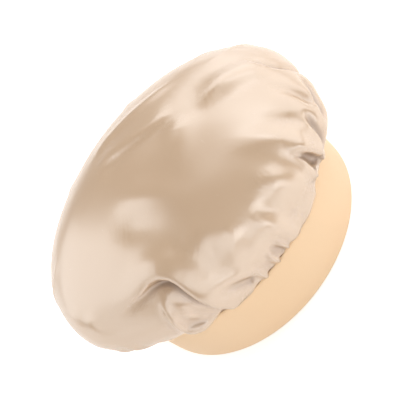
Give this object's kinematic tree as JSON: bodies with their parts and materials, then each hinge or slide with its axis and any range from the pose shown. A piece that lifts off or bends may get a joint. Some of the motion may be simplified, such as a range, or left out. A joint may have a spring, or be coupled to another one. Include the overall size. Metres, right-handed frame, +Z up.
{
  "type": "hair bonnet",
  "caption": "Soft hair bonnet: a gathered satin crown with a lining, sewn into a wide folded jersey band over an elastic, worn to cover and protect the hair.",
  "frame": {"origin": "centre of the head opening, on the plane of the band's rim", "axes": "+Z up through the crown, -Y towards the front of the band, +X along the crown's wider side"},
  "size_m": [0.2416, 0.2007, 0.1158],
  "materials": {
    "satin": "glossy champagne satin weave",
    "lining": "champagne satin weave, a little duller than the outside",
    "jersey": "matt peach fine jersey knit",
    "elastic": "matt off-white woven elastic",
    "thread": "spun polyester sewing thread"
  },
  "bodies": {
    "root": {"crown_outer": "satin", "crown_lining": "lining", "band_cover": "jersey", "band_elastic": "elastic", "seam_thread": "thread", "gathering_thread": "thread", "overlock_thread": "thread", "band_join_thread": "thread", "elastic_join_thread": "thread"}
  },
  "joints": []
}
